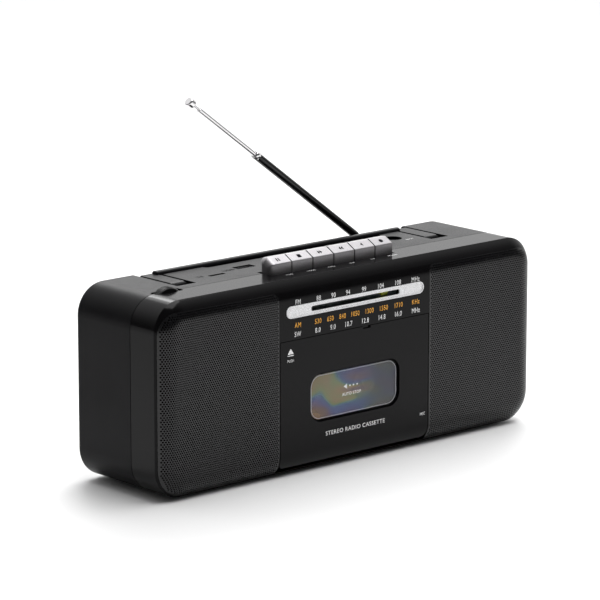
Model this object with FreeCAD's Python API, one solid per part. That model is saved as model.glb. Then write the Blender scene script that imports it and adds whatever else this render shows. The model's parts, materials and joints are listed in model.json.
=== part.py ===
"""Portable radio cassette player: case, cassette deck, keys, dial, handle and telescopic aerial.

Millimetres. X runs to the listener's right, Y to the back, Z up. Heights below are counted from
the underside of the case; the whole model is lifted by the height of its rubber feet when saved,
so the origin is under the middle of the case, on the surface that the feet stand on.
"""
import FreeCAD, Part
import math
import os

V = FreeCAD.Vector

# ---- driving dimensions -------------------------------------------------------------------------
CASE_W = 300.0            # width of the case
CASE_H = 116.2            # height of the case without its feet
FOOT_H = 1.5
CORNER_R = 18.5           # corner radius of the case outline, seen from the front
LEAST_R = 2.0
FRONT_Y = -38.5           # flat face of the front panel
RIM_Y = -32.3             # where the bulging front meets the flat side walls
SPLIT_Y = -11.3           # joint line between the front and rear cabinets
BACK_Y = 39.0
WALL = 2.5
SEAM = (0.5, 0.35)        # width and depth of the groove along the joint line
BULGE_D = 12.5            # how far in from the outline the front starts to curve back
BACK_ROUND = 3.0

PANEL_X = 60.0            # half width of the middle panel between the grilles
GRILLE_TOP = 110.3
GRILLE_RIM = 1.0
GRILLE_T = 1.2
SPEAKER_X = 104.0
SPEAKER_Z = 57.0
SPEAKER_R = 38.5

DOOR_X = 59.4             # half width of the cassette door
DOOR_TOP = 80.4
DOOR_BOTTOM = 3.6
DOOR_GAP = 0.4
SILL_T = 1.2              # case thickness left under the door, which swings down towards it
DOOR_T = 2.4
DOOR_PIVOT = (-30.8, 7.5)     # Y, Z of the door hinge
WINDOW_X = 35.9
WINDOW_Z = (27.9, 57.4)
WINDOW_R = 8.5
WINDOW_SEAT = 2.0         # the pane sits this far behind the door's face
PANE_T = 1.0
SPINDLE_X = 21.25
SPINDLE_Z = 40.9
SPINDLE_TIP_Y = -27.8
SHELF_Z = 11.8            # the cassette stands on this shelf, tape edge up
CHASSIS_Y = -22.0
CHASSIS_T = 1.2
BAY_TOP = 87.0

BEZEL_X = 55.0
BEZEL_Z = (94.0, 101.3)
BEZEL_PROUD = 0.5
SLOT_X = 35.4
SLOT_Z = (96.0, 99.1)
POINTER_X = 26.9
POINTER_W = 5.0

KEY_COUNT = 6
KEY_PITCH = 16.68
KEY_LEFT = -49.1
KEY_RIGHT = 48.6          # the last key is a little narrower than the rest
KEY_GAP = 0.9
KEY_Y = (-18.5, -7.5)
KEY_LOW = 108.6
KEY_FACE_TOP = 122.4      # from here the key's top slopes up to the ridge
KEY_RIDGE = (-12.2, 125.8)    # Y, Z
KEY_BACK_TOP = 125.0
KEY_SLOT_FRONT = -19.6
KEY_PIVOT = (3.6, 110.2)      # Y, Z of the shaft that the keys rock on
KEY_SHAFT_R = 1.5

VOLUME_X = -122.8
VOLUME_R = 11.5
VOLUME_PROUD = 2.5
TUNING_R = 14.0
TUNING_Z = 60.0
TUNING_DISH = 1.6           # depth of the finger dish beside the tuning wheel
BAND_AT = (78.4, 13.5)        # X, Y of the band switch
BAND_DEEP = 3.0               # its knob lies this far below the case top
BAND_R = 5.4

STEP_Y = 26.4             # front edge of the step that the handle lies in
STEP_Z = 106.0            # floor of that step
HAND_X = (-63.7, 78.6)    # ends of the finger recess in front of the grip
HAND_Y = 23.0
HAND_Z = 99.0
ARM_X = (96.6, 106.6)
ARM_GAP = 2.2
ARM_PIVOT = (5.5, 113.2)      # Y, Z of the handle pivots
ARM_HALF = 3.0
ARM_WELL_FRONT = -4.1
GRIP_Y = (27.3, 32.4)
GRIP_Z = (107.5, 118.0)

AERIAL_AT = (69.8, 36.0, 114.7)   # tilt pivot of the aerial
AERIAL_ANGLE = 36.4               # degrees above level, towards the left
AERIAL_TUBE = (2.6, 104.5)        # distances from the pivot along the aerial
AERIAL_TUBE_R = 2.5
AERIAL_MID_END = 158.5
AERIAL_MID_L = 96.0
AERIAL_MID_R = 1.55
AERIAL_ROD_END = 164.3
AERIAL_ROD_L = 84.0
AERIAL_ROD_R = 0.85
AERIAL_KNOB_R = 3.0
AERIAL_KNOB_L = 4.5
SLIDE_FIT = 0.05

BATTERY_X = 79.0          # half width of the battery bay
BATTERY_Z = (9.0, 61.0)
BATTERY_Y = 9.5
RUNNING_FIT = 0.05
JOINT_GAP = 0.4


# ---- small shape helpers ------------------------------------------------------------------------
def box(x, y, z):
    """A block from three (low, high) pairs."""
    return Part.makeBox(x[1] - x[0], y[1] - y[0], z[1] - z[0], V(x[0], y[0], z[0]))


def rod(axis, centre, r, span):
    """A cylinder along X, Y or Z: centre holds the other two coordinates, span the ends."""
    length = span[1] - span[0]
    if axis == "x":
        return Part.makeCylinder(r, length, V(span[0], centre[0], centre[1]), V(1, 0, 0))
    if axis == "y":
        return Part.makeCylinder(r, length, V(centre[0], span[0], centre[1]), V(0, 1, 0))
    return Part.makeCylinder(r, length, V(centre[0], centre[1], span[0]), V(0, 0, 1))


def edges_along(shape, direction):
    """The straight edges of a shape that run along a direction."""
    found = []
    for edge in shape.Edges:
        if len(edge.Vertexes) == 2:
            run = edge.Vertexes[1].Point.sub(edge.Vertexes[0].Point)
            if run.Length > 0 and run.cross(direction).Length < 1e-6 * run.Length:
                found.append(edge)
    return found


def soft_block(x, y, z, r, direction):
    """A block whose edges along one direction are rounded."""
    block = box(x, y, z)
    return block.makeFillet(r, edges_along(block, direction))


def ring(axis, centre, r_out, r_in, span):
    return rod(axis, centre, r_out, span).cut(rod(axis, centre, r_in, (span[0] - 1, span[1] + 1)))


def join(shapes):
    """One solid from touching or overlapping ones."""
    shapes = list(shapes)
    if len(shapes) == 1:
        return shapes[0]
    return shapes[0].multiFuse(shapes[1:]).removeSplitter()


def both_sides(shape):
    """A shape and its mirror image across the middle of the case."""
    return [shape, shape.mirror(V(0, 0, 0), V(1, 0, 0))]


def spin(profile, centre):
    """Turn (radius, y) points about an axis along Y through centre (x, z)."""
    points = [V(centre[0] + r, y, centre[1]) for r, y in profile]
    wire = Part.makePolygon(points + [points[0]])
    return Part.Face(wire).revolve(V(centre[0], 0, centre[1]), V(0, 1, 0), 360)


# ---- case outline -------------------------------------------------------------------------------
def outline(inset, y):
    """The case outline, moved in by inset, as a block between two Y values."""
    half = CASE_W / 2 - inset
    r = max(CORNER_R - inset, LEAST_R)
    return soft_block((-half, half), y, (inset, CASE_H - inset), r, V(0, 1, 0))


def bulge(offset):
    """The curved front of the case, its face moved back by offset."""
    drop = RIM_Y - FRONT_Y
    r = (BULGE_D ** 2 + drop ** 2) / (2 * drop)
    grow = r - BULGE_D
    face_y = FRONT_Y + offset
    block = outline(-grow, (face_y, SPLIT_Y))
    rim = [e for e in block.Edges if abs(e.BoundBox.YMax - face_y) < 1e-6 and e.BoundBox.YLength < 1e-6]
    return block.makeFillet(r, rim).common(outline(0, (FRONT_Y - 1, SPLIT_Y)))


def grille_area(side, inset, y):
    """The area that one grille fills, inside its rim; side is -1 for left and 1 for right."""
    x = (PANEL_X + 0.2 + inset, CASE_W / 2 - GRILLE_RIM - inset)
    z = (GRILLE_RIM + inset, GRILLE_TOP - inset)
    area = box(x, y, z)
    radius = {"outer_low": CORNER_R - GRILLE_RIM, "outer_high": 13.0, "inner_high": 4.0}
    for name, size in radius.items():
        far = x[1] if name.startswith("outer") else x[0]
        level = z[0] if name.endswith("low") else z[1]
        pick = [e for e in edges_along(area, V(0, 1, 0))
                if abs(e.Vertexes[0].X - far) < 1e-6 and abs(e.Vertexes[0].Z - level) < 1e-6]
        area = area.makeFillet(max(size - inset, 1.0), pick)
    if side < 0:
        area = area.mirror(V(0, 0, 0), V(1, 0, 0))
    return area


def key_span(index):
    left = KEY_LEFT + index * KEY_PITCH
    return (left, min(left + KEY_PITCH - KEY_GAP, KEY_RIGHT))


def window_block(grow, y):
    x = (-WINDOW_X - grow, WINDOW_X + grow)
    z = (WINDOW_Z[0] - grow, WINDOW_Z[1] + grow)
    return soft_block(x, y, z, WINDOW_R + grow, V(0, 1, 0))


# ---- cabinets -----------------------------------------------------------------------------------
def key_opening():
    return box((KEY_LEFT - KEY_GAP, KEY_RIGHT + KEY_GAP), (KEY_SLOT_FRONT, KEY_Y[1] + KEY_GAP),
               (CASE_H - 12, CASE_H + 1))


def volume_centre():
    return (VOLUME_X, CASE_H + VOLUME_PROUD - VOLUME_R)


def volume_opening():
    return soft_block((VOLUME_X - 10.0, VOLUME_X + 10.5), (SPLIT_Y - 3.2, SPLIT_Y + 3.6),
                      (CASE_H - 12, CASE_H + 1), 1.5, V(0, 0, 1))


def screw_posts(y):
    """Tubes that the case screws run into; both cabinets have them."""
    posts = []
    for x in (-142.0, 142.0):
        for z in (22.0, CASE_H - 24.0):
            posts.append(ring("y", (x, z), 3.4, 1.25, y))
    return posts


def front_cabinet():
    shell = bulge(0)
    shell = shell.cut(outline(WALL, (RIM_Y + WALL, SPLIT_Y + 1)))
    behind_dial = box((-PANEL_X + 2.5, PANEL_X - 2.5), (FRONT_Y + WALL, SPLIT_Y + 1),
                      (DOOR_TOP + 2.5, CASE_H - 12.5))
    shell = shell.cut(behind_dial)
    for side in (-1, 1):
        shell = shell.cut(grille_area(side, 0, (FRONT_Y - 1, RIM_Y)))
        shell = shell.cut(rod("y", (side * SPEAKER_X, SPEAKER_Z), SPEAKER_R - 4, (FRONT_Y, SPLIT_Y)))
    door_hole = box((-DOOR_X - DOOR_GAP, DOOR_X + DOOR_GAP), (FRONT_Y - 1, RIM_Y),
                    (SILL_T, DOOR_TOP + DOOR_GAP))
    sill = box((-57.5, 57.5), (RIM_Y - 1, DOOR_PIVOT[0] + 2), (SILL_T, BAY_TOP))
    bay = box((-57.5, 57.5), (RIM_Y - 1, SPLIT_Y + 1), (2.0, BAY_TOP))
    dial_slot = box((-SLOT_X, SLOT_X), (FRONT_Y - 1, RIM_Y), SLOT_Z)
    bezel_seat = bezel_block(0.0, (FRONT_Y - 1, FRONT_Y + 0.8))
    shell = shell.cut(door_hole).cut(sill).cut(bay).cut(dial_slot).cut(bezel_seat)
    shell = shell.cut(key_opening()).cut(volume_opening())
    posts = [p.common(outline(WALL - 0.1, (RIM_Y, BACK_Y))) for p in screw_posts((RIM_Y + WALL - 0.1, SPLIT_Y))]
    ears = both_sides(box((57.5, 60.5), (RIM_Y + WALL - 0.1, -27.0), (3.5, 12.0)))
    shell = join([shell] + posts + ears)
    return shell.cut(rod("x", DOOR_PIVOT, 1.5, (-60.0, 60.0)))


def handle_step(grow):
    """Space taken out of the top rear edge for the handle and the folded aerial."""
    back = BACK_Y + 1
    ends = ARM_X[1] + ARM_GAP + grow
    step = box((-ends, ends), (STEP_Y - grow, back), (STEP_Z - grow, CASE_H + 1))
    hand = soft_block((HAND_X[0] - grow, HAND_X[1] + grow), (HAND_Y - grow, GRIP_Y[1] + grow),
                      (HAND_Z - grow, CASE_H + 1), 3.0, V(0, 0, 1))
    wells = both_sides(box((ARM_X[0] - ARM_GAP - grow, ends), (ARM_WELL_FRONT - grow, STEP_Y + 1),
                           (STEP_Z - grow, CASE_H + 1)))
    return join([step, hand] + wells)


def rear_cabinet():
    solid = outline(0, (SPLIT_Y, BACK_Y))
    rim = [e for e in solid.Edges if abs(e.BoundBox.YMin - BACK_Y) < 1e-6]
    solid = solid.makeFillet(BACK_ROUND, rim)
    hollow = outline(WALL, (SPLIT_Y - 1, BACK_Y - WALL)).cut(handle_step(2.0))
    posts = [p.common(outline(WALL - 0.1, (SPLIT_Y, BACK_Y)))
             for p in screw_posts((SPLIT_Y, BACK_Y - WALL + 0.1))]
    seat = box((AERIAL_AT[0] - 4, AERIAL_AT[0] + 4), (32.9, BACK_Y - 0.2), (STEP_Z - 4, 108.0))
    seam = (SPLIT_Y, SPLIT_Y + SEAM[0])
    solid = solid.cut(outline(-1, seam).cut(outline(SEAM[1], seam)))
    shell = join([solid.cut(hollow).cut(handle_step(0)), seat] + posts)
    shell = shell.cut(rod("z", AERIAL_AT[:2], 2.0 + RUNNING_FIT, (STEP_Z - 3.8, 109)))
    shell = shell.cut(key_opening()).cut(volume_opening())
    for side in both_sides(rod("x", ARM_PIVOT, 2.0, (ARM_X[0] - 4.5, ARM_X[1] + 4.5))):
        shell = shell.cut(side)
    side_slot = box((CASE_W / 2 - 8, CASE_W / 2 + 1), (-2.8, 4.8), (TUNING_Z - 9.6, TUNING_Z + 9.6))
    dish_r = 40.0
    dish = rod("y", (CASE_W / 2 - TUNING_DISH + dish_r, TUNING_Z), dish_r, (-7.0, 9.0))
    band_hole = rod("z", BAND_AT, BAND_R + 0.3, (CASE_H - 6, CASE_H + 1))
    usb_hole = box(USB_X, USB_Y, (CASE_H - 4, CASE_H + 1))
    card_hole = box(CARD_X, CARD_Y, (CASE_H - 4, CASE_H + 1))
    battery_hole = box((-BATTERY_X, BATTERY_X), (BACK_Y - 4, BACK_Y + 1), BATTERY_Z)
    inlet_hole = soft_block(INLET_X, (BACK_Y - 4, BACK_Y + 1), INLET_Z, 4.0, V(0, 1, 0))
    jack_hole = rod("y", JACK_AT, 4.0, (BACK_Y - 4, BACK_Y + 1))
    for hole in (side_slot, dish, band_hole, usb_hole, card_hole, battery_hole, inlet_hole, jack_hole):
        shell = shell.cut(hole)
    for x, y in FOOT_PLACES:
        shell = shell.cut(rod("z", (x, y), 4.0, (-1, 0.8)))
    for x in (-142.0, 142.0):
        for z in (22.0, CASE_H - 24.0):
            shell = shell.cut(rod("y", (x, z), 3.0, (BACK_Y - 1.8, BACK_Y + 1)))
            shell = shell.cut(rod("y", (x, z), 1.25, (SPLIT_Y, BACK_Y + 1)))
    return shell


# ---- front panel pieces -------------------------------------------------------------------------
def grille(side):
    """A thin perforated cover; the holes are too fine to model here and are left closed."""
    outer = bulge(0).common(grille_area(side, 0.15, (FRONT_Y - 1, RIM_Y)))
    inner = bulge(GRILLE_T).common(grille_area(side, 0.15 + GRILLE_T, (FRONT_Y, RIM_Y + 1)))
    return outer.cut(inner)


def bezel_block(inset, y):
    x = (-BEZEL_X + inset, BEZEL_X - inset)
    z = (BEZEL_Z[0] + inset, BEZEL_Z[1] - inset)
    return soft_block(x, y, z, 3.55 - inset, V(0, 1, 0))


def dial_bezel():
    plate = bezel_block(0.0, (FRONT_Y - BEZEL_PROUD, FRONT_Y + 0.8))
    plate = plate.cut(bezel_block(0.7, (FRONT_Y - 1, FRONT_Y - 0.1)))
    slot = soft_block((-SLOT_X, SLOT_X), (FRONT_Y - 1, FRONT_Y + 1), SLOT_Z, 1.3, V(0, 1, 0))
    return plate.cut(slot)


def dial_lens():
    return box((-SLOT_X - 2, SLOT_X + 2), (FRONT_Y + WALL, FRONT_Y + WALL + 1.0), (SLOT_Z[0] - 2, SLOT_Z[1] + 2))


def dial_pointer():
    """Coloured flag seen through the slot, on a carriage that runs on the pointer rail."""
    x = (POINTER_X - POINTER_W / 2, POINTER_X + POINTER_W / 2)
    flag = box(x, (FRONT_Y + 4.2, FRONT_Y + 5.0), (SLOT_Z[0] - 0.2, 99.6))
    block = box((POINTER_X - 4, POINTER_X + 4), (FRONT_Y + 5.0, FRONT_Y + 9.0), (97.0, 101.5))
    carriage = join([flag, block])
    return carriage.cut(rod("x", (FRONT_Y + 7.0, 99.4), 1.0 + RUNNING_FIT, (0, 50)))


def pointer_rail():
    return rod("x", (FRONT_Y + 7.0, 99.4), 1.0, (-57.5, 57.5))


def cassette_door():
    area = box((-DOOR_X, DOOR_X), (FRONT_Y - 1, RIM_Y), (DOOR_BOTTOM, DOOR_TOP))
    low = [e for e in edges_along(area, V(0, 1, 0)) if e.Vertexes[0].Z < DOOR_BOTTOM + 1]
    area = area.makeFillet(4.0, low)
    pocket = box((-DOOR_X + 2, DOOR_X - 2), (FRONT_Y, RIM_Y + 1), (DOOR_BOTTOM + 2.5, DOOR_TOP - 2))
    skin = bulge(0).common(area).cut(bulge(DOOR_T).common(pocket))
    skin = skin.cut(window_block(0, (FRONT_Y - 1, RIM_Y)))
    skin = skin.cut(window_block(1.6, (FRONT_Y + WINDOW_SEAT, RIM_Y)))
    skin = skin.cut(box((-DOOR_X - 1, DOOR_X + 1), (DOOR_PIVOT[0] - 4.2, RIM_Y + 1), (0, DOOR_PIVOT[1] + 1.5)))
    notch = box((6.0, 12.0), (FRONT_Y - 1, FRONT_Y + 1.2), (DOOR_TOP - 1.4, DOOR_TOP + 1))
    lugs = both_sides(box((52.5, 57.0), (FRONT_Y + DOOR_T - 0.2, DOOR_PIVOT[0]), (5.6, 9.4)))
    lugs += both_sides(rod("x", DOOR_PIVOT, 1.9, (52.5, 57.0)))
    door = join([skin.cut(notch)] + lugs)
    return door.cut(rod("x", DOOR_PIVOT, 1.5 + RUNNING_FIT, (-60, 60)))


def door_window():
    """Clear pane with a bevelled step, seated behind the door skin."""
    back = FRONT_Y + WINDOW_SEAT + PANE_T
    pane = window_block(1.5, (FRONT_Y + WINDOW_SEAT, back))
    step = window_block(-1.2, (FRONT_Y + WINDOW_SEAT - 0.5, back))
    return join([pane, step])


def door_pins():
    return both_sides(rod("x", DOOR_PIVOT, 1.5, (52.0, 60.0)))


def cassette_holder():
    """Bent sheet that carries the cassette behind the door."""
    back_y = -24.6
    front_y = FRONT_Y + DOOR_T
    sides = both_sides(box((51.2, 52.2), (front_y, back_y), (BULGE_D, 60.0)))
    lips = both_sides(box((48.2, 52.2), (back_y - 0.8, back_y), (SHELF_Z, 60.0)))
    shelf = box((-52.2, 52.2), (front_y + 0.3, back_y), (SHELF_Z - 1.0, SHELF_Z))
    corners = both_sides(box((51.2, 52.2), (front_y + 0.3, back_y), (SHELF_Z - 1.0, BULGE_D)))
    return join(sides + lips + [shelf] + corners)


# ---- keys ---------------------------------------------------------------------------------------
def key(index):
    """Cap and lever of one key; it rocks on the key shaft."""
    x = key_span(index)
    profile = [(KEY_Y[0], KEY_LOW), (KEY_Y[0], KEY_FACE_TOP), KEY_RIDGE, (KEY_Y[1], KEY_BACK_TOP), (KEY_Y[1], KEY_LOW)]
    side = Part.Face(Part.makePolygon([V(x[0], y, z) for y, z in profile + profile[:1]]))
    cap = side.extrude(V(x[1] - x[0], 0, 0))
    top_edges = [e for e in edges_along(cap, V(1, 0, 0)) if e.Vertexes[0].Z > KEY_FACE_TOP - 0.1]
    cap = cap.makeFillet(0.8, top_edges)
    if index in (0, KEY_COUNT - 1):
        far = x[0] if index == 0 else x[1]
        corner = [e for e in edges_along(cap, V(0, 0, 1))
                  if abs(e.Vertexes[0].X - far) < 0.01 and e.Vertexes[0].Y < KEY_Y[0] + 1.0]
        cap = cap.makeFillet(4.0 if index == 0 else 1.0, corner)
    middle = (x[0] + x[1]) / 2
    lever = box((middle - 3.5, middle + 3.5), (KEY_Y[1] - 1, KEY_PIVOT[0]), (KEY_LOW, 111.9))
    hub = rod("x", KEY_PIVOT, 2.7, (middle - 3.5, middle + 3.5))
    body = join([cap, lever, hub])
    hollow = box((x[0] + 1.4, x[1] - 1.4), (KEY_Y[0] + 1.4, KEY_Y[1] - 1.4), (KEY_LOW - 1, KEY_FACE_TOP - 8))
    return body.cut(hollow).cut(rod("x", KEY_PIVOT, KEY_SHAFT_R + RUNNING_FIT, (x[0] - 1, x[1] + 1)))


def key_shaft():
    return rod("x", KEY_PIVOT, KEY_SHAFT_R, (KEY_LEFT - 2.2, KEY_RIGHT + 2.2))


def key_springs():
    """A short torsion spring beside each lever, round the shaft."""
    springs = []
    for index in range(KEY_COUNT):
        x = key_span(index)
        start = (x[0] + x[1]) / 2 + 4.0
        coils = [Part.makeTorus(1.95, 0.4, V(start + 0.4 + 0.7 * turn, *KEY_PIVOT), V(1, 0, 0))
                 for turn in range(4)]
        springs.append(join(coils))
    return springs


def key_bracket():
    """Steel cheeks that hold the ends of the key shaft, hung from the deck chassis."""
    cheeks = []
    for x in ((KEY_LEFT - 2.0, KEY_LEFT - 0.8), (KEY_RIGHT + 0.8, KEY_RIGHT + 2.0)):
        cheeks.append(box(x, (CHASSIS_Y + CHASSIS_T, 6.4), (95.0, 113.0)).cut(
            rod("x", KEY_PIVOT, KEY_SHAFT_R, (x[0] - 1, x[1] + 1))).cut(
            box((x[0] - 1, x[1] + 1), (KEY_SLOT_FRONT - 1, KEY_Y[1] + 1.2), (103.0, 114.0))))
    tray = box((KEY_LEFT - 2.0, KEY_RIGHT + 2.0), (CHASSIS_Y + CHASSIS_T, 6.4), (95.0, 96.2))
    return join(cheeks + [tray])


# ---- cassette deck ------------------------------------------------------------------------------
FLYWHEEL_AT = (18.0, 68.7)    # X, Z of the capstan
FLYWHEEL_R = 21.0
PULLEY_AT = (-28.0, 74.0)     # X, Z of the motor shaft
PULLEY_R = 4.2
ROLLER_AT = (18.0, 82.5)      # X, Z of the pinch roller, lifted clear of the tape
CAPSTAN_R = 1.25
BELT_T = 0.6
BELT_Y = (-14.6, -12.2)


def deck_chassis():
    plate = box((-55.0, 55.0), (CHASSIS_Y, CHASSIS_Y + CHASSIS_T), (8.0, 94.8))
    ears = box((KEY_LEFT - 2.0, KEY_RIGHT + 2.0), (CHASSIS_Y, CHASSIS_Y + CHASSIS_T), (94.8, 99.0))
    plate = join([plate, ears])
    for x in (-SPINDLE_X, SPINDLE_X):
        plate = plate.cut(rod("y", (x, SPINDLE_Z), 1.5 + RUNNING_FIT, (CHASSIS_Y - 1, 0)))
    plate = plate.cut(rod("y", FLYWHEEL_AT, CAPSTAN_R + RUNNING_FIT, (CHASSIS_Y - 1, 0)))
    plate = plate.cut(rod("y", ROLLER_AT, 1.0, (CHASSIS_Y - 1, 0)))
    return [plate, roller_pin()]


def spindle(x):
    """Reel spindle: three fins on a post, a flange, a shaft and a pulley behind the chassis."""
    post = rod("y", (x, SPINDLE_Z), 2.6, (SPINDLE_TIP_Y + 1, CHASSIS_Y - 1.6))
    nose = Part.makeCone(1.2, 2.6, 1.0, V(x, SPINDLE_TIP_Y, SPINDLE_Z), V(0, 1, 0))
    flange = rod("y", (x, SPINDLE_Z), 8.0, (CHASSIS_Y - 1.6, CHASSIS_Y - 0.4))
    shaft = rod("y", (x, SPINDLE_Z), 1.5, (CHASSIS_Y - 0.4, -16.4))
    pulley = rod("y", (x, SPINDLE_Z), 9.0, (-18.8, -16.4))
    fins = []
    for turn in range(3):
        fin = box((x, x + 4.2), (SPINDLE_TIP_Y + 1.2, CHASSIS_Y - 1.5), (SPINDLE_Z - 0.6, SPINDLE_Z + 0.6))
        fin.rotate(V(x, 0, SPINDLE_Z), V(0, 1, 0), 90 + 120 * turn)
        fins.append(fin)
    return join([post, nose, flange, shaft, pulley] + fins)


def capstan_flywheel():
    shaft = rod("y", FLYWHEEL_AT, CAPSTAN_R, (-28.5, -8.0))
    rim = ring("y", FLYWHEEL_AT, FLYWHEEL_R, 15.0, (-15.4, -10.4))
    web = rod("y", FLYWHEEL_AT, 15.5, (-13.8, -12.2))
    hub = rod("y", FLYWHEEL_AT, 4.0, (-15.4, -10.4))
    return join([shaft, rim, web, hub])


def flywheel_bracket():
    """Steel strap behind the flywheel with the rear bearing of its shaft."""
    z = (FLYWHEEL_AT[1] - 5, FLYWHEEL_AT[1] + 5)
    strap = box((-8.0, 46.0), (-9.6, -8.4), z)
    feet = [box((x, x + 3.0), (CHASSIS_Y + CHASSIS_T, -8.4), z) for x in (-8.0, 43.0)]
    bearing = rod("y", FLYWHEEL_AT, 3.0, (-9.8, -7.4))
    return join([strap, bearing] + feet).cut(rod("y", FLYWHEEL_AT, CAPSTAN_R + RUNNING_FIT, (-11, -7.8)))


def motor():
    can = rod("y", PULLEY_AT, 16.0, (-11.0, 7.0))
    return can.cut(rod("y", PULLEY_AT, 1.0 + RUNNING_FIT, (-12, -4.0)))


def motor_pulley():
    wheel = rod("y", PULLEY_AT, PULLEY_R, (-15.2, -11.6))
    return join([wheel, rod("y", PULLEY_AT, 1.0, (-16.0, -5.0))])


def drive_belt():
    """Flat belt: two arcs and the two straight runs that touch both wheels."""
    big = FLYWHEEL_R + RUNNING_FIT
    small = PULLEY_R + RUNNING_FIT
    dx = PULLEY_AT[0] - FLYWHEEL_AT[0]
    dz = PULLEY_AT[1] - FLYWHEEL_AT[1]
    reach = math.hypot(dx, dz)
    heading = math.atan2(dz, dx)
    lean = math.acos((big - small) / reach)

    def loop(extra, y):
        faces = []
        corners = []
        for centre, r in ((FLYWHEEL_AT, big + extra), (PULLEY_AT, small + extra)):
            faces.append(rod("y", centre, r, y))
            for side in (1, -1):
                turn = heading + side * lean
                corners.append(V(centre[0] + r * math.cos(turn), y[0], centre[1] + r * math.sin(turn)))
        order = [corners[0], corners[2], corners[3], corners[1], corners[0]]
        web = Part.Face(Part.makePolygon(order)).extrude(V(0, y[1] - y[0], 0))
        return faces[0].multiFuse([faces[1], web]).removeSplitter()

    return loop(BELT_T, BELT_Y).cut(loop(0, (BELT_Y[0] - 1, BELT_Y[1] + 1)))


def pinch_roller():
    return ring("y", ROLLER_AT, 6.0, 1.0 + RUNNING_FIT, (-31.6, -25.0))


def roller_pin():
    pin = rod("y", ROLLER_AT, 1.0, (-31.9, CHASSIS_Y + CHASSIS_T))
    return join([pin, rod("y", ROLLER_AT, 2.2, (-24.7, CHASSIS_Y))])


def head(x, width):
    """A tape head: a screened block on a foot that stands on the chassis."""
    block = soft_block((x - width / 2, x + width / 2), (-31.9, -25.5), (76.8, 84.5), 1.2, V(0, 1, 0))
    foot = box((x - width / 2 + 1, x + width / 2 - 1), (-25.5, CHASSIS_Y), (78.0, 84.0))
    return join([block, foot])


# ---- radio, controls and sockets ----------------------------------------------------------------
USB_X = (-52.0, -38.0)
USB_Y = (7.6, 13.9)
CARD_X = (-77.3, -65.4)
CARD_Y = (3.2, 6.0)
INLET_X = (-126.0, -110.0)
INLET_Z = (62.0, 72.0)
JACK_AT = (120.0, 66.0)
FOOT_PLACES = [(x, y) for x in (-120.0, 120.0) for y in (-6.0, 31.0)]
UNDERSIDE = CASE_H - WALL


def volume_wheel():
    """Thumbwheel and the shaft that it turns."""
    x, z = volume_centre()
    wheel = rod("y", (x, z), VOLUME_R, (SPLIT_Y - 2.4, SPLIT_Y + 2.6))
    wheel = wheel.makeChamfer(0.5, [e for e in wheel.Edges if e.BoundBox.YLength < 1e-6])
    return join([wheel, rod("y", (x, z), 3.0, (SPLIT_Y - 1.0, SPLIT_Y + 7.5))])


def volume_control():
    """Carbon-track volume control whose shaft carries the thumbwheel."""
    x, z = volume_centre()
    can = rod("y", (x, z), 5.8, (SPLIT_Y + 4.0, SPLIT_Y + 9.5))
    lug = box((x - 4, x + 4), (SPLIT_Y + 4.0, SPLIT_Y + 9.5), (z - 14.7, z - 5))
    return join([can, lug]).cut(rod("y", (x, z), 3.0 + RUNNING_FIT, (SPLIT_Y, SPLIT_Y + 7.6)))


def control_board():
    x, z = volume_centre()
    return box((x - 10, x + 14), (SPLIT_Y + 3.0, SPLIT_Y + 12.0), (z - 16.3, z - 14.7))


def tuning_centre():
    return (CASE_W / 2 - TUNING_R, TUNING_Z)


def tuning_wheel():
    """Thumbwheel, the drum that the pointer's cord winds on, and their shaft."""
    wheel = rod("y", tuning_centre(), TUNING_R, (-2.0, 4.0))
    wheel = wheel.makeChamfer(0.6, [e for e in wheel.Edges if e.BoundBox.YLength < 1e-6])
    drum = rod("y", tuning_centre(), 9.0, (-6.5, -2.0))
    return join([wheel, drum, rod("y", tuning_centre(), 2.0, (-7.0, 9.5))])


def tuning_capacitor():
    x, z = tuning_centre()
    body = box((x - 10, x + 8), (4.6, 14.0), (z - 10, z + 10))
    return body.cut(rod("y", (x, z), 2.0 + RUNNING_FIT, (0, 9.6)))


def band_switch_knob():
    knob = rod("z", BAND_AT, BAND_R, (CASE_H - 7.0, CASE_H - BAND_DEEP))
    knob = knob.cut(box((BAND_AT[0] - 4, BAND_AT[0] + 4), (BAND_AT[1] - 0.6, BAND_AT[1] + 0.6),
                        (CASE_H - BAND_DEEP - 1.2, CASE_H)))
    return join([knob, rod("z", BAND_AT, 2.0, (CASE_H - 12.5, CASE_H - 6.5))])


def band_switch():
    body = box((BAND_AT[0] - 8, BAND_AT[0] + 8), (BAND_AT[1] - 6, BAND_AT[1] + 6),
               (CASE_H - 16.2, CASE_H - 8.5))
    return body.cut(rod("z", BAND_AT, 2.0 + RUNNING_FIT, (CASE_H - 13, CASE_H)))


def band_board():
    return box((66.0, 96.0), (3.0, 20.0), (CASE_H - 17.8, CASE_H - 16.2))


def usb_port():
    """Metal shell of the socket with the contact tongue inside."""
    shell = box(USB_X, USB_Y, (CASE_H - 15.0, CASE_H - 0.8))
    inside = box((USB_X[0] + 0.5, USB_X[1] - 0.5), (USB_Y[0] + 0.5, USB_Y[1] - 0.5),
                 (CASE_H - 13.5, CASE_H))
    tongue = box((USB_X[0] + 1.4, USB_X[1] - 1.4), (USB_Y[1] - 2.6, USB_Y[1] - 0.9),
                 (CASE_H - 14.0, CASE_H - 3.0))
    return join([shell.cut(inside), tongue])


def card_slot():
    x = (CARD_X[0] - 1, CARD_X[1] + 1)
    shell = box(x, (CARD_Y[0] - 0.8, CARD_Y[1] + 0.8), (CASE_H - 15.0, UNDERSIDE))
    return shell.cut(box(CARD_X, CARD_Y, (CASE_H - 14.0, CASE_H)))


def media_board():
    board = box((-82.0, -34.0), (1.0, 18.0), (CASE_H - 16.6, CASE_H - 15.0))
    return board.cut(box((KEY_LEFT - 3.0, -33.0), (0.0, 7.0), (CASE_H - 18, CASE_H - 14)))


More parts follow.
